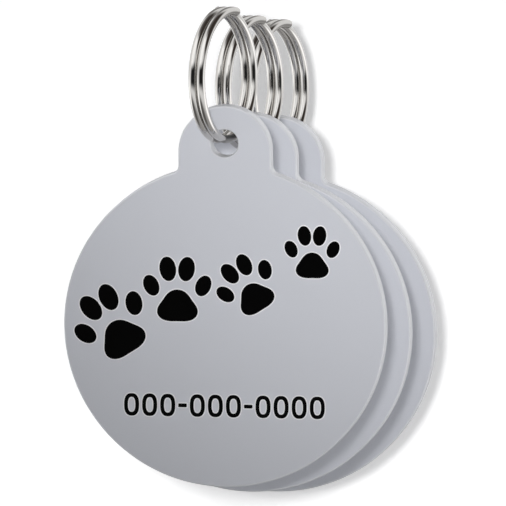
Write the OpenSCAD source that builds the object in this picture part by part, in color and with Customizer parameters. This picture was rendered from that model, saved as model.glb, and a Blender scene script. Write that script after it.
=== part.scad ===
/* [Plate] */
// Diameter of the round plate of a tag
disc_d = 32; // [26:0.5:38]
// Thickness of the sheet that a tag is stamped from
plate_t = 2; // [1.5:0.1:2.2]
// Edge break all round the plate and at the mouths of the hole
edge_break = 0.2; // [0.1:0.05:0.3]

/* [Tab] */
// Width of the tab that carries the hole
tab_w = 9.2; // [8.4:0.1:10]
// Height of the tab's round top above the edge of the plate
tab_rise = 5.9; // [5.4:0.1:7]
// Radius of the fillets between the tab and the plate
neck_fillet_r = 0.8; // [0.4:0.1:1.6]

/* [Hole] */
// Diameter of the hole that the split ring goes through
hole_d = 2.7; // [2.6:0.1:3.6]
// Metal left between the hole and the top of the tab
hole_web = 2.35; // [1.6:0.05:2.5]

/* [Split ring] */
// Outer diameter of the split ring
ring_od = 13.5; // [12:0.5:16]
// Diameter of the ring's wire
wire_d = 0.85; // [0.8:0.05:0.95]
// Running gap between neighbouring turns of the wire
turn_gap = 0.05; // [0.03:0.01:0.08]
// Running gap between the wire and the upper wall of the hole
seat_gap = 0.06; // [0.04:0.01:0.1]
// Angle that the ring hangs turned from square to the plate, degrees
ring_turn = 18; // [8:0.5:20]
// Angle that the top of the ring leans to the side, degrees
ring_lean = 2.6; // [0:0.2:5]
// Angle past the top at which the wire starts, degrees
start_past_top = 12; // [0:1:20]
// Angle past the top, two turns further on, at which the wire ends, degrees
end_past_top = 16; // [5:1:25]

/* [Set of three] */
// Least gap between the split rings of neighbouring tags in the row
row_gap = 5.3; // [0.4:0.1:8]
// How much lower the middle tag hangs than the front one
middle_drop = 3.1; // [0:0.1:5]
// How much lower the rear tag hangs than the middle one
rear_drop = 2.6; // [0:0.1:5]

/* [Hidden] */

// Smoothness of the turned faces
$fn = 96;
// Overrun of every cut and depth of every hidden joint between joined shapes
overrun = 0.5;

// Satin stamped plate and bright plated spring wire
PLATE_COLOUR = [0.77, 0.78, 0.8];
RING_COLOUR = [0.66, 0.65, 0.64];

// Heights on the plate, measured up from the centre of the disc
disc_r = disc_d / 2;
tab_r = tab_w / 2;
tab_top = disc_r + tab_rise;
tab_round_y = tab_top - tab_r;
hole_r = hole_d / 2;
hole_y = tab_top - hole_web - hole_r;

// Centre of a neck fillet, which touches the side of the tab and the disc
fillet_x = tab_r + neck_fillet_r;
fillet_y = sqrt(pow(disc_r + neck_fillet_r, 2) - pow(fillet_x, 2));
// Point of the disc below the fillet's centre, one overrun inside the edge
fillet_foot = [fillet_x, fillet_y] * (disc_r - overrun) / (disc_r + neck_fillet_r);

// The wire is wound as a close helix of about two turns
wire_r = wire_d / 2;
coil_r = ring_od / 2 - wire_r;
coil_pitch = wire_d + turn_gap;
ring_inner_r = coil_r - wire_r;
WIRE_SIDES = 16;
COIL_STEP = 7.5;
full_turn = 360;
turns_to_top = 2 * full_turn;
// Sections of each domed wire end: share of the wire's radius, share of the dome's length left
DOME_SHARES = [[0.35, 0], [0.7, 0.3], [0.92, 0.62]];
dome_length = wire_r * 0.7;
dome_angle = dome_length / coil_r * full_turn / (2 * PI);

// Place of the ring's centre, measured from the hang point at the top of its inside
ring_x = ring_inner_r * sin(ring_lean);
ring_z = -ring_inner_r * cos(ring_lean);

// Centre of the hole, below the lowest part of the ring. The ring is let down until every point
// of the wire inside the hole's straight wall keeps the running gap to that wall.
wall_end = plate_t / 2 - edge_break;
SEAT_STEP = 0.5;
seat_span = asin((wall_end + wire_d) / coil_r);
seat_points = [
    for (strand = [0, 1])
        for (a = [-seat_span : SEAT_STEP : seat_span])
            for (p = wire_section(full_turn * (strand + 0.5) + a, wire_r))
                let (q = hung(p))
                if (abs(q.y) <= wall_end) q
];
hole_x = ring_x + coil_r * sin(ring_lean);
seat_height = min([
    for (q = seat_points) sqrt(pow(hole_r - seat_gap, 2) - pow(ring_x + q.x - hole_x, 2)) - q.z
]);
hole_z = ring_z - seat_height;
disc_z = hole_z - hole_y;

// Each tag takes its own slice of the row, as deep as its ring. The strands that reach furthest
// to the front and the back lie three quarters of a pitch off the middle of the coil.
ring_depth = 2 * (coil_r * cos(ring_turn) + wire_r + coil_pitch * 3 / 4 * sin(ring_turn));
row_step = ring_depth + row_gap;
ROW_DROPS = [0, middle_drop, middle_drop + rear_drop];

// Turned blank of radius r, as thick as the sheet, with both its edges broken
module broken_blank(r) {
    rotate_extrude() {
        polygon([
            [0, -plate_t / 2],
            [r - edge_break, -plate_t / 2],
            [r, edge_break - plate_t / 2],
            [r, plate_t / 2 - edge_break],
            [r - edge_break, plate_t / 2],
            [0, plate_t / 2]
        ]);
    }
}

// Cutter of radius r whose ends flare, so that the edges it leaves are broken too
module flared_cutter(r) {
    flare_r = r + edge_break + overrun;
    flare_y = plate_t / 2 + overrun;
    rotate_extrude() {
        polygon([
            [0, -flare_y],
            [flare_r, -flare_y],
            [r, edge_break - plate_t / 2],
            [r, plate_t / 2 - edge_break],
            [flare_r, flare_y],
            [0, flare_y]
        ]);
    }
}

// Straight part of the tab, from inside the disc up to the centre of its round top
module tab_shank() {
    shank_y = disc_r - tab_w;
    half = [tab_r, plate_t / 2];
    translate([0, shank_y, 0]) {
        rotate([-90, 0, 0]) {
            linear_extrude(height = tab_round_y - shank_y) {
                polygon([
                    [-half.x, edge_break - half.y],
                    [edge_break - half.x, -half.y],
                    [half.x - edge_break, -half.y],
                    [half.x, edge_break - half.y],
                    [half.x, half.y - edge_break],
                    [half.x - edge_break, half.y],
                    [edge_break - half.x, half.y],
                    [-half.x, half.y - edge_break]
                ]);
            }
        }
    }
}

// Metal in the corner between the tab and the disc, hollowed to the fillet
module neck_fillet() {
    difference() {
        linear_extrude(height = plate_t, center = true) {
            polygon([
                [fillet_x, fillet_y],
                [tab_r - overrun, fillet_y],
                [tab_r - overrun, fillet_foot.y],
                fillet_foot
            ]);
        }
        translate([fillet_x, fillet_y, 0]) {
            flared_cutter(neck_fillet_r);
        }
    }
}

// One stamped tag, its hole at the height that the ring leaves it hanging
module tag() {
    color(PLATE_COLOUR) {
        translate([hole_x, 0, disc_z]) {
            rotate([90, 0, 0]) {
                difference() {
                    union() {
                        broken_blank(disc_r);
                        translate([0, tab_round_y, 0]) {
                            broken_blank(tab_r);
                        }
                        tab_shank();
                        neck_fillet();
                        mirror([1, 0, 0]) {
                            neck_fillet();
                        }
                    }
                    translate([0, hole_y, 0]) {
                        flared_cutter(hole_r);
                    }
                }
            }
        }
    }
}

// Point on the middle of the wire, at an angle round the coil counted from its first top
function wire_point(a) = [coil_pitch * (a / full_turn - 1), coil_r * sin(a), coil_r * cos(a)];

// Ring of points round the wire at that angle: sideways along the coil's axis, outwards from it
function wire_section(a, r) = [
    for (i = [0 : WIRE_SIDES - 1])
        let (turn = i * full_turn / WIRE_SIDES)
        wire_point(a) + r * [cos(turn), sin(turn) * sin(a), sin(turn) * cos(a)]
];

// Point of the ring's own axes as the ring hangs, turned and then leaned about its centre
function turned(p) =
    [p.x * cos(ring_turn) + p.y * sin(ring_turn), p.y * cos(ring_turn) - p.x * sin(ring_turn), p.z];
function leaned(p) =
    [p.x * cos(ring_lean) - p.z * sin(ring_lean), p.y, p.x * sin(ring_lean) + p.z * cos(ring_lean)];
function hung(p) = leaned(turned(p));

// One unbroken wire of round section, with a low dome at each end
module split_ring() {
    first = start_past_top;
    last = turns_to_top + end_past_top;
    steps = ceil((last - first) / COIL_STEP);
    step = (last - first) / steps;
    sections = concat(
        [for (d = DOME_SHARES) wire_section(first - dome_angle * (1 - d[1]), wire_r * d[0])],
        [for (i = [0 : steps]) wire_section(first + i * step, wire_r)],
        [for (i = [len(DOME_SHARES) - 1 : -1 : 0])
            wire_section(last + dome_angle * (1 - DOME_SHARES[i][1]), wire_r * DOME_SHARES[i][0])]
    );
    count = len(sections);
    sides = [
        for (s = [0 : count - 2])
            for (i = [0 : WIRE_SIDES - 1])
                let (j = (i + 1) % WIRE_SIDES, near = s * WIRE_SIDES, far = near + WIRE_SIDES)
                each [[near + i, near + j, far + j], [near + i, far + j, far + i]]
    ];
    start_cap = [for (i = [WIRE_SIDES - 1 : -1 : 0]) i];
    end_cap = [for (i = [0 : WIRE_SIDES - 1]) (count - 1) * WIRE_SIDES + i];
    color(RING_COLOUR) {
        translate([ring_x, 0, ring_z]) {
            polyhedron(
                points = [for (s = sections) for (p = s) hung(p)],
                faces = concat([start_cap], sides, [end_cap]),
                convexity = 10
            );
        }
    }
}

// Place in the row: 0 is the front tag, 1 the middle one and 2 the rear one
module in_row(place) {
    translate([0, place * row_step, -ROW_DROPS[place]]) {
        children();
    }
}

module front_tag() {
    in_row(0) tag();
}

module middle_tag() {
    in_row(1) tag();
}

module rear_tag() {
    in_row(2) tag();
}

module front_ring() {
    in_row(0) split_ring();
}

module middle_ring() {
    in_row(1) split_ring();
}

module rear_ring() {
    in_row(2) split_ring();
}

// Least gap between two turns of the wire, which lean by the helix angle
helix_angle = atan(coil_pitch / (2 * PI * coil_r));
echo(turn_gap_printed = coil_pitch * cos(helix_angle) - wire_d);
echo(hole_x = hole_x, hole_z = hole_z, disc_z = disc_z, row_step = row_step);

front_tag();
middle_tag();
rear_tag();
front_ring();
middle_ring();
rear_ring();
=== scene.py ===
import math

import bmesh
import bpy
from mathutils import Matrix, Vector


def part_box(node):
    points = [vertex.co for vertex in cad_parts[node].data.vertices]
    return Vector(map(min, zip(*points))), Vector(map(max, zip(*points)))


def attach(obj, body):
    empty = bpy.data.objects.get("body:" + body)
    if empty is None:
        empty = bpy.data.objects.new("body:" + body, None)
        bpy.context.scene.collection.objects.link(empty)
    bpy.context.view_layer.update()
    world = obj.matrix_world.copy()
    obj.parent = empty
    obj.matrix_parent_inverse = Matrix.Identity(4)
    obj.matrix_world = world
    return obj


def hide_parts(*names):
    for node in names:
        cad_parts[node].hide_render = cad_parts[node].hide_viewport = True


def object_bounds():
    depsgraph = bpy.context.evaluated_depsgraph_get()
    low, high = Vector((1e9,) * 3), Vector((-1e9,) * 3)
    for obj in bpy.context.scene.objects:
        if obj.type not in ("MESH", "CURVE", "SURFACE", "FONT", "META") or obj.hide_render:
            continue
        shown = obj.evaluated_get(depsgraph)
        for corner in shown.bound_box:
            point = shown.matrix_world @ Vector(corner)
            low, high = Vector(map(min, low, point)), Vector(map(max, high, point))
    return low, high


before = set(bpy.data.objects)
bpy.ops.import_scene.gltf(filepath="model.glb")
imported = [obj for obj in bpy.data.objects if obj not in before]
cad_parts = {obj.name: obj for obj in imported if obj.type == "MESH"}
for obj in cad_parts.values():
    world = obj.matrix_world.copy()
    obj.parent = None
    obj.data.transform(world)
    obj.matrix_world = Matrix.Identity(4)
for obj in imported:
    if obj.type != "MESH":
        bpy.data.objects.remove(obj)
cad_low, cad_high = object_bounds()
MM = 0.001
SET = ("front", "middle", "rear")

# Stamped plates: a disc and a round-topped tab with a hole, in one piece of sheet aluminium.
# The sheet is blanked, tumbled so that every edge goes round and a little smoother, and then finished
# satin. The rounded edges are a little lighter in colour, which is a painted edge highlight.
TAB_WIDTH = 9.2 * MM
NECK_FILLET = 0.8 * MM
HOLE_DIAMETER = 2.7 * MM
HOLE_WEB = 2.35 * MM
EDGE_ROUND = 0.16 * MM
FACE_MARGIN = 0.21 * MM
EDGE_STEPS = 6
FLAT = 0.999
ARC_STEP = math.radians(1.5)
HOLE_SEGMENTS = 72
CLOUDS_PER_METRE = 160.0
GRAIN_RELIEF = 0.01 * MM


def arc(centre, radius, start, end):
    """Points along an arc in the plane of the plate, its end left to the next arc."""
    steps = max(2, math.ceil(abs(end - start) / ARC_STEP))
    angles = [start + (end - start) * i / steps for i in range(steps)]
    return [centre + radius * Vector((math.cos(a), math.sin(a))) for a in angles]


def plate_outline(low, high, inset):
    """Edge of a plate drawn in by inset, from the right neck round the disc and back over the tab."""
    disc_r = (high.x - low.x) / 2
    middle = Vector(((low.x + high.x) / 2, low.z + disc_r))
    tab_r = TAB_WIDTH / 2
    round_top = Vector((middle.x, high.z - tab_r))
    reach = disc_r + NECK_FILLET
    neck_angle = math.acos((tab_r + NECK_FILLET) / reach)
    right_neck = middle + reach * Vector((math.cos(neck_angle), math.sin(neck_angle)))
    left_neck = Vector((2 * middle.x - right_neck.x, right_neck.y))
    points = arc(middle, disc_r - inset, neck_angle, -math.pi - neck_angle)
    points += arc(left_neck, NECK_FILLET + inset, -neck_angle, 0)
    points += arc(round_top, tab_r - inset, math.pi, 0)
    points += arc(right_neck, NECK_FILLET + inset, math.pi, math.pi + neck_angle)
    return points


def add_loop(bm, points, depth):
    """Closed loop of corners at one depth of the sheet, joined by edges."""
    verts = [bm.verts.new((p.x, depth, p.y)) for p in points]
    for i in range(len(verts)):
        bm.edges.new((verts[i - 1], verts[i]))
    return verts


def loop_edges(bm, verts):
    """The edges of a closed loop of corners."""
    return [bm.edges.get((verts[i - 1], verts[i])) for i in range(len(verts))]


def wall_between(bm, near, far):
    """Band of faces from one loop to the next one, which has as many corners."""
    for i in range(len(near)):
        bm.faces.new((near[i - 1], near[i], far[i], far[i - 1]))


def rounded_levels(front, back):
    """How far in and how deep each loop of the wall lies, from the front face to the back one."""
    quarter = [math.pi / 2 * i / EDGE_STEPS for i in range(EDGE_STEPS + 1)]
    bends = [(EDGE_ROUND * (1 - math.sin(a)), EDGE_ROUND * (1 - math.cos(a))) for a in quarter]
    levels = [(FACE_MARGIN, front)]
    levels += [(inset, front + depth) for inset, depth in bends]
    levels += [(inset, back - depth) for inset, depth in reversed(bends)]
    return levels + [(FACE_MARGIN, back)]


def as_object(bm, name):
    """The finished mesh as an object in the scene."""
    mesh = bpy.data.meshes.new(name)
    bm.to_mesh(mesh)
    bm.free()
    piece = bpy.data.objects.new(name, mesh)
    bpy.context.collection.objects.link(piece)
    return piece


def stamped_plate(name, node):
    """One tag as a closed mesh in the space of its node, its edges rounded by tumbling."""
    low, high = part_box(node)
    hole_r = HOLE_DIAMETER / 2
    hole = Vector(((low.x + high.x) / 2, high.z - HOLE_WEB - hole_r))
    bm = bmesh.new()
    walls = []
    for inset, depth in rounded_levels(low.y, high.y):
        ring_points = [
            hole + (hole_r + inset) * Vector((math.cos(a), math.sin(a)))
            for a in (2 * math.pi * i / HOLE_SEGMENTS for i in range(HOLE_SEGMENTS))
        ]
        walls.append((
            add_loop(bm, plate_outline(low, high, inset), depth),
            add_loop(bm, ring_points, depth),
        ))
    for near, far in zip(walls, walls[1:]):
        for near_loop, far_loop in zip(near, far):
            wall_between(bm, near_loop, far_loop)
    for outer, inner in (walls[0], walls[-1]):
        rims = loop_edges(bm, outer) + loop_edges(bm, inner)
        bmesh.ops.triangle_fill(bm, use_beauty=True, edges=rims)
    bmesh.ops.recalc_face_normals(bm, faces=bm.faces)
    # Faces of the rounded edges take the second material, whose lighter colour is a painted edge
    # highlight.
    for face in bm.faces:
        face.smooth = True
        face.material_index = 0 if abs(face.normal.y) > FLAT else 1
    return as_object(bm, name)


def socket(group, name, kind, way, value=None):
    """Adds a named input or output to a shader node group."""
    made = group.interface.new_socket(name=name, in_out=way, socket_type=kind)
    if value is not None:
        made.default_value = value


def metal_grain_group():
    """Fine even grain of a metal surface: a mask from 0 to 1 and a normal, at a named scale."""
    group = bpy.data.node_groups.new("metal_grain", "ShaderNodeTree")
    socket(group, "Grains per metre", "NodeSocketFloat", "INPUT", 9000.0)
    socket(group, "Depth", "NodeSocketFloat", "INPUT", 0.1)
    socket(group, "Cloud", "NodeSocketFloat", "OUTPUT")
    socket(group, "Grain", "NodeSocketFloat", "OUTPUT")
    socket(group, "Normal", "NodeSocketVector", "OUTPUT")
    nodes, links = group.nodes, group.links
    inputs = nodes.new("NodeGroupInput")
    outputs = nodes.new("NodeGroupOutput")
    place = nodes.new("ShaderNodeTexCoord")
    grain = nodes.new("ShaderNodeTexNoise")
    grain.inputs["Detail"].default_value = 3.0
    grain.inputs["Roughness"].default_value = 0.6
    cloud = nodes.new("ShaderNodeTexNoise")
    cloud.inputs["Scale"].default_value = CLOUDS_PER_METRE
    cloud.inputs["Detail"].default_value = 2.0
    bump = nodes.new("ShaderNodeBump")
    bump.inputs["Distance"].default_value = GRAIN_RELIEF
    links.new(place.outputs["Object"], grain.inputs["Vector"])
    links.new(place.outputs["Object"], cloud.inputs["Vector"])
    links.new(inputs.outputs["Grains per metre"], grain.inputs["Scale"])
    links.new(inputs.outputs["Depth"], bump.inputs["Strength"])
    links.new(grain.outputs["Fac"], bump.inputs["Height"])
    links.new(cloud.outputs["Fac"], outputs.inputs["Cloud"])
    links.new(grain.outputs["Fac"], outputs.inputs["Grain"])
    links.new(bump.outputs["Normal"], outputs.inputs["Normal"])
    return group


metal_grain = metal_grain_group()


def metal(name, dark, light, smooth, rough, grains, depth, metallic):
    """Grained metal whose colour and roughness wander a little over the surface."""
    material = bpy.data.materials.new(name)
    material.use_nodes = True
    nodes, links = material.node_tree.nodes, material.node_tree.links
    surface = nodes["Principled BSDF"]
    surface.inputs["Metallic"].default_value = metallic
    grain = nodes.new("ShaderNodeGroup")
    grain.node_tree = metal_grain
    grain.inputs["Grains per metre"].default_value = grains
    grain.inputs["Depth"].default_value = depth
    colour = nodes.new("ShaderNodeMix")
    colour.data_type = "RGBA"
    colour.inputs["A"].default_value = (*dark, 1)
    colour.inputs["B"].default_value = (*light, 1)
    sheen = nodes.new("ShaderNodeMapRange")
    sheen.inputs["To Min"].default_value = smooth
    sheen.inputs["To Max"].default_value = rough
    links.new(grain.outputs["Grain"], colour.inputs["Factor"])
    links.new(grain.outputs["Cloud"], sheen.inputs["Value"])
    links.new(colour.outputs["Result"], surface.inputs["Base Color"])
    links.new(sheen.outputs["Result"], surface.inputs["Roughness"])
    links.new(grain.outputs["Normal"], surface.inputs["Normal"])
    return material


satin_aluminium = metal(
    "satin_aluminium", (0.60, 0.614, 0.662), (0.64, 0.654, 0.702), 0.46, 0.54, 9000.0, 0.10, 0.3)
# The rounded edges: smoother from tumbling, and lighter in colour as a painted highlight.
tumbled_edge_painted_highlight = metal(
    "tumbled_edge_painted_highlight", (0.645, 0.655, 0.69), (0.685, 0.695, 0.73), 0.36, 0.44, 6000.0, 0.08, 0.35)

for place in SET:
    plate = stamped_plate(f"{place}_plate", f"{place}_tag")
    plate.data.materials.append(satin_aluminium)
    plate.data.materials.append(tumbled_edge_painted_highlight)
    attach(plate, f"{place}_tag")
    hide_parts(f"{place}_tag")


# Marks on the face of each tag: a rising trail of paw prints and a line of plain zeros.
# Both are filled with black enamel, a hair proud of the plate, and ringed by a fine pale band that is
# a painted highlight of their edges.
MARK_HEIGHT = 0.02 * MM
BORDER_HEIGHT = 0.01 * MM
BORDER_WIDTH = 0.1 * MM
TRAIL_SLOPE = math.atan(0.297)
TRAIL_START = Vector((-11.2, 0.6)) * MM
TRAIL_STEP = 7.0 * MM
TRAIL_SWAY = 0.7 * MM
PAW_LEAN = math.pi / 2 * 0.18
PAW_SIZES = (8.0 * MM, 7.2 * MM, 6.5 * MM, 5.8 * MM)
NUMBER_LINE_TOP = -6.8 * MM
DIGIT_HEIGHT = 2.25 * MM
DIGIT_WIDTH = 1.5 * MM
DIGIT_STROKE = 0.38 * MM
DIGIT_GAP = 0.3 * MM
DASH_LENGTH = 0.85 * MM
NUMBER_PATTERN = "000-000-0000"
ENAMEL_GRAINS = 5000.0
ENAMEL_DEPTH = 0.2
ENAMEL_WANDER = 0.15
# Each toe, in shares of a paw's size: how far across and up it lies, and its two half widths. The
# last value is its lean in degrees.
TOE_SHARES = (
    (-0.36, 0.10, 0.105, 0.150, 24.0),
    (-0.13, 0.33, 0.115, 0.170, 8.0),
    (0.13, 0.33, 0.115, 0.170, -8.0),
    (0.36, 0.10, 0.105, 0.150, -24.0),
)
# Shares of a paw's size: half width and half height of the large pad, and swell of its lobes
PAD_SHARES = (0.27, 0.22, 0.12)
PAD_DROP_SHARE = 0.20
PAD_LOBES = 3
OVAL_SEGMENTS = 40
PAD_SEGMENTS = 60
ZERO_SQUARENESS = 2.5
DASH_SQUARENESS = 8.0


def raised_shape(bm, points, front, height, holes=()):
    """Flat shape with square sides, standing proud of the face by height."""
    edges = loop_edges(bm, add_loop(bm, points, front))
    for hole_points in holes:
        edges += loop_edges(bm, add_loop(bm, hole_points, front))
    filled = bmesh.ops.triangle_fill(bm, use_beauty=True, edges=edges)
    faces = [g for g in filled["geom"] if isinstance(g, bmesh.types.BMFace)]
    grown = bmesh.ops.extrude_face_region(bm, geom=faces, use_keep_orig=True)
    verts = [g for g in grown["geom"] if isinstance(g, bmesh.types.BMVert)]
    bmesh.ops.translate(bm, verts=verts, vec=(0, -height, 0))


def oval(centre, half_width, half_height, lean, squareness=2.0):
    """Points of an oval, squarer as squareness rises above 2, leaned over by an angle."""
    power = 2 / squareness
    points = []
    for i in range(OVAL_SEGMENTS):
        a = 2 * math.pi * i / OVAL_SEGMENTS
        x = math.copysign(abs(math.cos(a)) ** power, math.cos(a)) * half_width
        y = math.copysign(abs(math.sin(a)) ** power, math.sin(a)) * half_height
        points.append(centre + Matrix.Rotation(lean, 2) @ Vector((x, y)))
    return points


def heel_pad(centre, size, lean, grow):
    """Points of the large pad of a paw, which swells into three low lobes."""
    across, up, lobes = PAD_SHARES
    points = []
    for i in range(PAD_SEGMENTS):
        a = 2 * math.pi * i / PAD_SEGMENTS
        swell = 1 + lobes * math.cos(PAD_LOBES * (a - math.pi / 2))
        flat = Vector((
            (size * across * swell + grow) * math.cos(a),
            (size * up * swell + grow) * math.sin(a),
        ))
        points.append(centre + Matrix.Rotation(lean, 2) @ flat)
    return points


def paw_print(bm, centre, size, lean, front, height, grow):
    """Large pad and four toes."""
    turn = Matrix.Rotation(lean, 2)
    heel = centre + turn @ Vector((0, -PAD_DROP_SHARE * size))
    raised_shape(bm, heel_pad(heel, size, lean, grow), front, height)
    for across, up, half_width, half_height, toe_lean in TOE_SHARES:
        toe = centre + turn @ Vector((across * size, up * size))
        points = oval(
            toe, half_width * size + grow, half_height * size + grow, lean + math.radians(toe_lean))
        raised_shape(bm, points, front, height)


def number_line(bm, middle, front, height, grow):
    """Zeros and dashes in one centred line."""
    widths = [DIGIT_WIDTH if c == "0" else DASH_LENGTH for c in NUMBER_PATTERN]
    total = sum(widths) + DIGIT_GAP * (len(widths) - 1)
    x = middle.x - total / 2
    y = middle.y + NUMBER_LINE_TOP - DIGIT_HEIGHT / 2
    for sign, width in zip(NUMBER_PATTERN, widths):
        centre = Vector((x + width / 2, y))
        x += width + DIGIT_GAP
        if sign == "0":
            outer, bore = [
                oval(centre, width / 2 + out, DIGIT_HEIGHT / 2 + out, 0, ZERO_SQUARENESS)
                for out in (grow, -DIGIT_STROKE - grow)
            ]
            raised_shape(bm, outer, front, height, [bore])
        else:
            bar = oval(centre, width / 2 + grow, DIGIT_STROKE / 2 + grow, 0, DASH_SQUARENESS)
            raised_shape(bm, bar, front, height)


def face_marks(name, node, height, grow):
    """All the marks of one tag as one object, laid on its front face."""
    low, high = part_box(node)
    disc_r = (high.x - low.x) / 2
    middle = Vector(((low.x + high.x) / 2, low.z + disc_r))
    bm = bmesh.new()
    along = Vector((math.cos(TRAIL_SLOPE), math.sin(TRAIL_SLOPE)))
    beside = Vector((-along.y, along.x))
    for i, size in enumerate(PAW_SIZES):
        side = 1 if i % 2 else -1
        centre = middle + TRAIL_START + along * TRAIL_STEP * i + beside * TRAIL_SWAY * side
        paw_print(bm, centre, size, TRAIL_SLOPE - PAW_LEAN * side, low.y, height, grow)
    number_line(bm, middle, low.y, height, grow)
    bmesh.ops.recalc_face_normals(bm, faces=bm.faces)
    return as_object(bm, name)


def enamel_and_painted_highlight(name, colour, roughness, shine):
    """Colour in a mark, a little uneven in its gloss: fired black enamel, and the pale band round
    each mark, which is a painted edge highlight.
    """
    material = bpy.data.materials.new(name)
    material.use_nodes = True
    nodes, links = material.node_tree.nodes, material.node_tree.links
    surface = nodes["Principled BSDF"]
    surface.inputs["Base Color"].default_value = (*colour, 1)
    surface.inputs["Specular IOR Level"].default_value = shine
    grain = nodes.new("ShaderNodeGroup")
    grain.node_tree = metal_grain
    grain.inputs["Grains per metre"].default_value = ENAMEL_GRAINS
    grain.inputs["Depth"].default_value = ENAMEL_DEPTH
    gloss = nodes.new("ShaderNodeMapRange")
    gloss.inputs["To Min"].default_value = roughness
    gloss.inputs["To Max"].default_value = roughness + ENAMEL_WANDER
    links.new(grain.outputs["Grain"], gloss.inputs["Value"])
    links.new(gloss.outputs["Result"], surface.inputs["Roughness"])
    links.new(grain.outputs["Normal"], surface.inputs["Normal"])
    return material


black_enamel = enamel_and_painted_highlight("black_enamel", (0.001, 0.001, 0.001), 0.6, 0.03)
# The pale band round the marks is a painted highlight of their edges.
mark_edge_painted_highlight = enamel_and_painted_highlight("mark_edge_painted_highlight", (0.80, 0.80, 0.82), 0.5, 0.4)

for place in SET:
    marks = face_marks(f"{place}_marks", f"{place}_tag", MARK_HEIGHT, 0.0)
    marks.data.materials.append(black_enamel)
    # Pale bands round the marks: painted highlights of their edges.
    borders = face_marks(f"{place}_mark_borders", f"{place}_tag", BORDER_HEIGHT, BORDER_WIDTH)
    borders.data.materials.append(mark_edge_painted_highlight)
    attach(marks, f"{place}_tag")
    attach(borders, f"{place}_tag")


# Split rings: one spring steel wire each, wound on a mandrel into a little over two close turns.
# The ends are domed, and the whole ring is plated with bright nickel.
RING_DIAMETER = 13.5 * MM
WIRE_DIAMETER = 0.85 * MM
TURN_GAP = 0.05 * MM
RING_TURN = math.radians(18)
RING_LEAN = math.radians(2.6)
START_PAST_TOP = math.radians(12)
END_PAST_TOP = math.radians(16)
WIRE_SEGMENTS = 28
COIL_STEPS = 300
DOME_STEPS = 5
DOME_TIP_STEPS = 0.6
DOME_LENGTH = 0.7 * WIRE_DIAMETER / 2


def domed_end(bm, loop, way):
    """Closes an open end of the wire with a low dome that points the given way."""
    verts = dict.fromkeys(v for e in loop for v in e.verts)
    centre = sum((v.co for v in verts), Vector()) / len(verts)
    angles = [math.pi / 2 * i / (DOME_STEPS + DOME_TIP_STEPS) for i in range(DOME_STEPS + 1)]
    for before, a in zip(angles, angles[1:]):
        grown = bmesh.ops.extrude_edge_only(bm, edges=loop)["geom"]
        loop = [g for g in grown if isinstance(g, bmesh.types.BMEdge)]
        verts = [g for g in grown if isinstance(g, bmesh.types.BMVert)]
        share = math.cos(a) / math.cos(before)
        bmesh.ops.scale(bm, verts=verts, vec=(share,) * 3, space=Matrix.Translation(-centre))
        step = DOME_LENGTH * (math.sin(a) - math.sin(before))
        bmesh.ops.translate(bm, verts=verts, vec=way * step)
        centre += way * step
    bmesh.ops.contextual_create(bm, geom=loop)


def wound_ring(name, place):
    """One close helix of wire, hung where the tag of that place hangs from it."""
    coil_r = (RING_DIAMETER - WIRE_DIAMETER) / 2
    inner_r = coil_r - WIRE_DIAMETER / 2
    low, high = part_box(f"{place}_tag")
    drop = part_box("front_tag")[1].z - high.z
    centre = Vector((
        inner_r * math.sin(RING_LEAN), (low.y + high.y) / 2, -drop - inner_r * math.cos(RING_LEAN)))
    pitch = WIRE_DIAMETER + TURN_GAP
    total = 4 * math.pi - START_PAST_TOP + END_PAST_TOP
    # In the ring's own axes the wire runs from the top away along +Y, shifting along +X
    own = Matrix.Rotation(-RING_LEAN, 4, "Y") @ Matrix.Rotation(-RING_TURN, 4, "Z")
    axes = own.to_3x3()
    axis = axes @ Vector((1, 0, 0))
    bm = bmesh.new()
    section = Matrix.Translation(Vector((0, 0, coil_r))) @ Matrix.Rotation(math.pi / 2, 4, "X")
    first = Matrix.Rotation(-START_PAST_TOP, 4, "X") @ section
    shift = -pitch * (1 - START_PAST_TOP / (2 * math.pi))
    seat = Matrix.Translation(centre) @ own @ Matrix.Translation(Vector((shift, 0, 0)))
    bmesh.ops.create_circle(
        bm, cap_ends=False, segments=WIRE_SEGMENTS, radius=WIRE_DIAMETER / 2, matrix=seat @ first)
    first_loop = list(bm.edges)
    spun = bmesh.ops.spin(
        bm,
        geom=list(bm.verts) + list(bm.edges),
        cent=centre,
        axis=axis,
        dvec=axis * (pitch * total / (2 * math.pi) / COIL_STEPS),
        angle=-total,
        steps=COIL_STEPS,
        use_duplicate=False,
    )
    last_loop = [g for g in spun["geom_last"] if isinstance(g, bmesh.types.BMEdge)]
    back = axes @ Vector((0, -math.cos(START_PAST_TOP), math.sin(START_PAST_TOP)))
    ahead = axes @ Vector((0, math.cos(END_PAST_TOP), -math.sin(END_PAST_TOP)))
    domed_end(bm, first_loop, back)
    domed_end(bm, last_loop, ahead)
    bmesh.ops.recalc_face_normals(bm, faces=bm.faces)
    for face in bm.faces:
        face.smooth = True
    return as_object(bm, name)


bright_nickel = metal(
    "bright_nickel", (0.62, 0.605, 0.585), (0.66, 0.645, 0.625), 0.06, 0.10, 3000.0, 0.008, 1.0)

for place in SET:
    ring = wound_ring(f"{place}_wire", place)
    ring.data.materials.append(bright_nickel)
    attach(ring, f"{place}_ring")
    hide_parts(f"{place}_ring")


# Stage: a white wall behind the row, swept down into a pale floor under it.
# The wall is clear from behind, so that the row can be looked at from all sides.
WALL_GAP = 12.4 * MM
STAGE_HALF_WIDTH = 1.3
WALL_HEIGHT = 0.5
FLOOR_DROP = 0.0235
SWEEP_RADIUS = 0.012
SWEEP_STEPS = 12
FLOOR_REACH = 1.8
PAPER_WHITE = (0.85, 0.85, 0.85, 1)
PAPER_GLOW = 0.37


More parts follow.
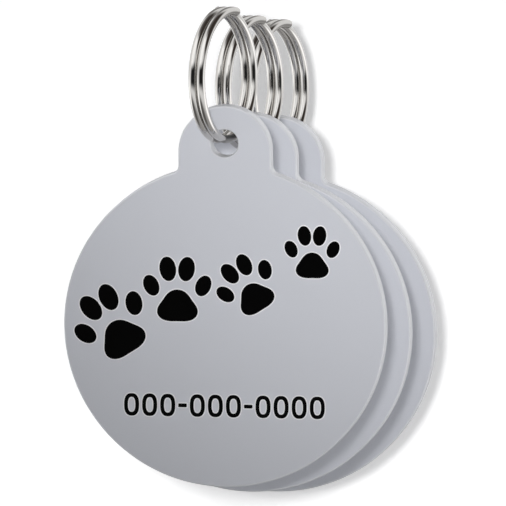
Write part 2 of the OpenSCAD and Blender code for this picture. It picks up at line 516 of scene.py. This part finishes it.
def stage_sweep():
    """Wall, sweep and floor as one sheet that faces the camera."""
    wall_y = cad_high.y + WALL_GAP
    floor_z = cad_low.z - FLOOR_DROP
    bm = bmesh.new()
    profile = [(wall_y, WALL_HEIGHT)]
    for i in range(SWEEP_STEPS + 1):
        a = math.pi / 2 * i / SWEEP_STEPS
        profile.append((
            wall_y - SWEEP_RADIUS * (1 - math.cos(a)), floor_z + SWEEP_RADIUS * (1 - math.sin(a))))
    profile.append((-FLOOR_REACH, floor_z))
    left, right = [
        [bm.verts.new((x, y, z)) for y, z in profile] for x in (-STAGE_HALF_WIDTH, STAGE_HALF_WIDTH)]
    for i in range(1, len(profile)):
        face = bm.faces.new((left[i - 1], left[i], right[i], right[i - 1]))
        face.smooth = True
    return as_object(bm, "stage_sweep")


def white_paper():
    """Matt white that the camera sees a little brighter, and that is clear from behind."""
    material = bpy.data.materials.new("white_paper")
    material.use_nodes = True
    nodes, links = material.node_tree.nodes, material.node_tree.links
    nodes.remove(nodes["Principled BSDF"])
    output = nodes["Material Output"]
    paper = nodes.new("ShaderNodeBsdfDiffuse")
    paper.inputs["Color"].default_value = PAPER_WHITE
    glow = nodes.new("ShaderNodeEmission")
    rays = nodes.new("ShaderNodeLightPath")
    power = nodes.new("ShaderNodeMath")
    power.operation = "MULTIPLY"
    power.inputs[1].default_value = PAPER_GLOW
    both = nodes.new("ShaderNodeAddShader")
    side = nodes.new("ShaderNodeNewGeometry")
    clear = nodes.new("ShaderNodeBsdfTransparent")
    pick = nodes.new("ShaderNodeMixShader")
    links.new(rays.outputs["Is Camera Ray"], power.inputs[0])
    links.new(power.outputs[0], glow.inputs["Strength"])
    links.new(paper.outputs[0], both.inputs[0])
    links.new(glow.outputs[0], both.inputs[1])
    links.new(side.outputs["Backfacing"], pick.inputs["Fac"])
    links.new(both.outputs[0], pick.inputs[1])
    links.new(clear.outputs[0], pick.inputs[2])
    links.new(pick.outputs[0], output.inputs["Surface"])
    return material


sweep = stage_sweep()
sweep.data.materials.append(white_paper())
sweep.visible_glossy = False


# Light: a dim even room, a compact key whose shadows fall to the right and below, a fill, a lamp
# above and behind for the upper edges, and one for the wall alone. Bright wire also sees a studio,
# which is white, with a grey floor and dark gaps ahead and to the right.
ROOM_STRENGTH = 0.085
SPOT_DISTANCE = 0.9
KEY_AZIMUTH = math.radians(4.8)
KEY_ELEVATION = math.radians(8.0)
KEY_RADIUS = 0.024
KEY_WATTS = 23.2
FILL_AZIMUTH = math.radians(38)
FILL_ELEVATION = math.radians(3)
FILL_RADIUS = 0.02
FILL_WATTS = 13.6
# Both spots aim above and to the right of the front disc, and fade towards the foot of the row
SPOT_AIM = Vector((27, 36)) * MM
SPOT_REACH = 74 * MM
TOP_AZIMUTH = math.radians(165)
TOP_ELEVATION = math.radians(70)
TOP_DISTANCE = 0.6
TOP_SIZE = 0.2
TOP_WATTS = 1.4
WALL_LAMP_AZIMUTH = math.radians(5.0)
WALL_LAMP_ELEVATION = math.radians(9.0)
WALL_LAMP_DISTANCE = 3.0
WALL_LAMP_SIZE = 0.15
WALL_LAMP_WATTS = 52.0


def direction(azimuth, elevation):
    """Unit vector from the row towards a light or the camera; azimuth 0 is straight in front."""
    return Vector((
        math.sin(azimuth) * math.cos(elevation),
        -math.cos(azimuth) * math.cos(elevation),
        math.sin(elevation),
    ))


def add_lamp(name, kind, target, toward, distance, watts):
    """Lamp aimed at a place from a distance, left out of mirror reflections."""
    data = bpy.data.lights.new(name, kind)
    data.energy = watts
    lamp = bpy.data.objects.new(name, data)
    lamp.location = target + toward * distance
    lamp.rotation_euler = (-toward).to_track_quat("-Z", "Y").to_euler()
    lamp.visible_glossy = False
    bpy.context.collection.objects.link(lamp)
    return lamp


front_low, front_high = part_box("front_tag")
disc_radius = (front_high.x - front_low.x) / 2
front_disc = Vector(((front_low.x + front_high.x) / 2, front_low.y, front_low.z + disc_radius))


def add_spot(name, toward, watts, radius):
    """Spot that is whole at its aim only, and falls off smoothly all round it."""
    target = front_disc + Vector((SPOT_AIM.x, 0, SPOT_AIM.y))
    spot = add_lamp(name, "SPOT", target, toward, SPOT_DISTANCE, watts)
    spot.data.spot_size = 2 * math.atan(SPOT_REACH / SPOT_DISTANCE)
    spot.data.spot_blend = 1.0
    spot.data.shadow_soft_size = radius
    return spot


def add_disk(name, toward, distance, watts, size):
    """Round lamp aimed at the middle of the row."""
    disk = add_lamp(name, "AREA", (cad_low + cad_high) / 2, toward, distance, watts)
    disk.data.shape = "DISK"
    disk.data.size = size
    return disk


def linked(name, pieces, state):
    """Collection of pieces that a lamp is to light or be shaded by, or is not to."""
    group = bpy.data.collections.new(name)
    for piece in pieces:
        group.objects.link(piece)
    for link in group.collection_objects:
        link.light_linking.link_state = state
    return group


key = add_spot("key", direction(KEY_AZIMUTH, KEY_ELEVATION), KEY_WATTS, KEY_RADIUS)
fill = add_spot("fill", direction(FILL_AZIMUTH, FILL_ELEVATION), FILL_WATTS, FILL_RADIUS)
wall_lamp = add_disk(
    "wall_lamp", direction(WALL_LAMP_AZIMUTH, WALL_LAMP_ELEVATION), WALL_LAMP_DISTANCE,
    WALL_LAMP_WATTS, WALL_LAMP_SIZE)
top = add_disk("top", direction(TOP_AZIMUTH, TOP_ELEVATION), TOP_DISTANCE, TOP_WATTS, TOP_SIZE)
# Only its own lamp lights the wall, which doesn't shade the top lamp. The wires don't shade the fill.
for lamp in (key, fill, top):
    lamp.light_linking.receiver_collection = linked(f"{lamp.name}_off_wall", [sweep], "EXCLUDE")
wall_lamp.light_linking.receiver_collection = linked("wall_lamp_on_wall", [sweep], "INCLUDE")
wires = [bpy.data.objects[f"{place}_wire"] for place in SET]
fill.light_linking.blocker_collection = linked("fill_past_rings", wires, "EXCLUDE")
top.light_linking.blocker_collection = linked("top_past_wall", [sweep], "EXCLUDE")

STUDIO_WHITE = (0.94, 0.94, 0.94, 1)
# Each panel: azimuth and elevation, angles from there at which it is whole and gone, and shade
PANELS = (
    (-172, 34, 11, 27, (0.26, 0.255, 0.25, 1)),
    (139, -34, 12, 32, (0.32, 0.315, 0.31, 1)),
    (0, -90, 34, 64, (0.40, 0.395, 0.39, 1)),
    (-42, -56, 14, 36, (0.13, 0.125, 0.12, 1)),
    (-30, 48, 22, 44, (1.40, 1.40, 1.40, 1)),
    (100, -18, 10, 26, (1.6, 1.6, 1.6, 1)),
    (-95, -20, 9, 26, (1.6, 1.6, 1.6, 1)),
    (160, 82, 14, 38, (0.15, 0.14, 0.135, 1)),
    (88, 48, 26, 44, (0.055, 0.045, 0.04, 1)),
)
GAP_SHADE = (0.02, 0.02, 0.02, 1)
GAP_AZIMUTH = 14
GAP_HALF_WIDTHS = (38, 66)
GAP_ELEVATIONS = (-22, -6, 12, 26)


def share_from(nodes, links, value, gone, whole):
    """Share that goes smoothly from 0 at one value to 1 at another."""
    span = nodes.new("ShaderNodeMapRange")
    span.interpolation_type = "SMOOTHSTEP"
    span.inputs["From Min"].default_value = gone
    span.inputs["From Max"].default_value = whole
    links.new(value, span.inputs["Value"])
    return span.outputs["Result"]


def share_near(nodes, links, ray, azimuth, elevation, whole, gone):
    """Share that is 1 round a direction given in degrees, and falls to 0 away from it."""
    toward = direction(math.radians(azimuth), math.radians(elevation))
    dot = nodes.new("ShaderNodeVectorMath")
    dot.operation = "DOT_PRODUCT"
    dot.inputs[1].default_value = toward
    links.new(ray, dot.inputs[0])
    near = math.cos(math.radians(whole))
    return share_from(nodes, links, dot.outputs["Value"], math.cos(math.radians(gone)), near)


def both_shares(nodes, links, one, other):
    """Product of two shares."""
    product = nodes.new("ShaderNodeMath")
    product.operation = "MULTIPLY"
    links.new(one, product.inputs[0])
    links.new(other, product.inputs[1])
    return product.outputs[0]


def gap_share(nodes, links, ray):
    """Share of the dark gap ahead, a level band that ends softly on every side."""
    split = nodes.new("ShaderNodeSeparateXYZ")
    links.new(ray, split.inputs[0])
    low, low_whole, high_whole, high = [math.sin(math.radians(e)) for e in GAP_ELEVATIONS]
    above = share_from(nodes, links, split.outputs["Z"], low, low_whole)
    below = share_from(nodes, links, split.outputs["Z"], high, high_whole)
    ahead = share_near(nodes, links, ray, GAP_AZIMUTH, 0, *GAP_HALF_WIDTHS)
    return both_shares(nodes, links, both_shares(nodes, links, above, below), ahead)


def over(nodes, links, under, shade, share):
    """Shade laid over what is under it by a share."""
    mix = nodes.new("ShaderNodeMix")
    mix.data_type = "RGBA"
    links.new(under, mix.inputs["A"])
    mix.inputs["B"].default_value = shade
    links.new(share, mix.inputs["Factor"])
    return mix.outputs["Result"]


def studio_world():
    """Even dim room for matt surfaces, panels for mirror ones, and white for the camera."""
    world = bpy.data.worlds.new("studio")
    world.use_nodes = True
    nodes, links = world.node_tree.nodes, world.node_tree.links
    room = nodes["Background"]
    room.inputs["Color"].default_value = (1, 1, 1, 1)
    room.inputs["Strength"].default_value = ROOM_STRENGTH
    white = nodes.new("ShaderNodeBackground")
    white.inputs["Color"].default_value = (1, 1, 1, 1)
    panels = nodes.new("ShaderNodeBackground")
    ray = nodes.new("ShaderNodeTexCoord").outputs["Generated"]
    base = nodes.new("ShaderNodeRGB")
    base.outputs[0].default_value = STUDIO_WHITE
    shade = base.outputs[0]
    for azimuth, elevation, whole, gone, colour in PANELS:
        share = share_near(nodes, links, ray, azimuth, elevation, whole, gone)
        shade = over(nodes, links, shade, colour, share)
    shade = over(nodes, links, shade, GAP_SHADE, gap_share(nodes, links, ray))
    rays = nodes.new("ShaderNodeLightPath")
    mirror = nodes.new("ShaderNodeMixShader")
    seen = nodes.new("ShaderNodeMixShader")
    links.new(shade, panels.inputs["Color"])
    links.new(rays.outputs["Is Glossy Ray"], mirror.inputs["Fac"])
    links.new(room.outputs[0], mirror.inputs[1])
    links.new(panels.outputs[0], mirror.inputs[2])
    links.new(rays.outputs["Is Camera Ray"], seen.inputs["Fac"])
    links.new(mirror.outputs[0], seen.inputs[1])
    links.new(white.outputs[0], seen.inputs[2])
    links.new(seen.outputs[0], nodes["World Output"].inputs["Surface"])
    return world


bpy.context.scene.world = studio_world()

# Camera: a long lens, a little to the right of the row and above it, as in the photograph.
# Its aim puts the front disc where the photograph has it, and its lens gives the photograph's scale
# in pixels per millimetre.
CAMERA_AZIMUTH = math.radians(8)
CAMERA_ELEVATION = math.radians(7.5)
CAMERA_DISTANCE = 2.2
PHOTO_SIDE = 506
FRONT_DISC_PIXEL = Vector((224.4, 326.5))
PIXELS_PER_MM = 10.14
SENSOR = 36.0

camera_data = bpy.data.cameras.new("camera")
camera_data.sensor_width = SENSOR
camera_data.lens = PIXELS_PER_MM / MM * CAMERA_DISTANCE / PHOTO_SIDE * SENSOR
camera = bpy.data.objects.new("camera", camera_data)
bpy.context.collection.objects.link(camera)
back = direction(CAMERA_AZIMUTH, CAMERA_ELEVATION)
turn = (-back).to_track_quat("-Z", "Y")
right = turn @ Vector((1, 0, 0))
up = turn @ Vector((0, 1, 0))
off_centre = FRONT_DISC_PIXEL - Vector((PHOTO_SIDE, PHOTO_SIDE)) / 2
aim = front_disc - (right * off_centre.x - up * off_centre.y) / PIXELS_PER_MM * MM
camera.location = aim + back * CAMERA_DISTANCE
camera.rotation_euler = turn.to_euler()
bpy.context.scene.camera = camera
bpy.context.scene.view_settings.view_transform = "Standard"
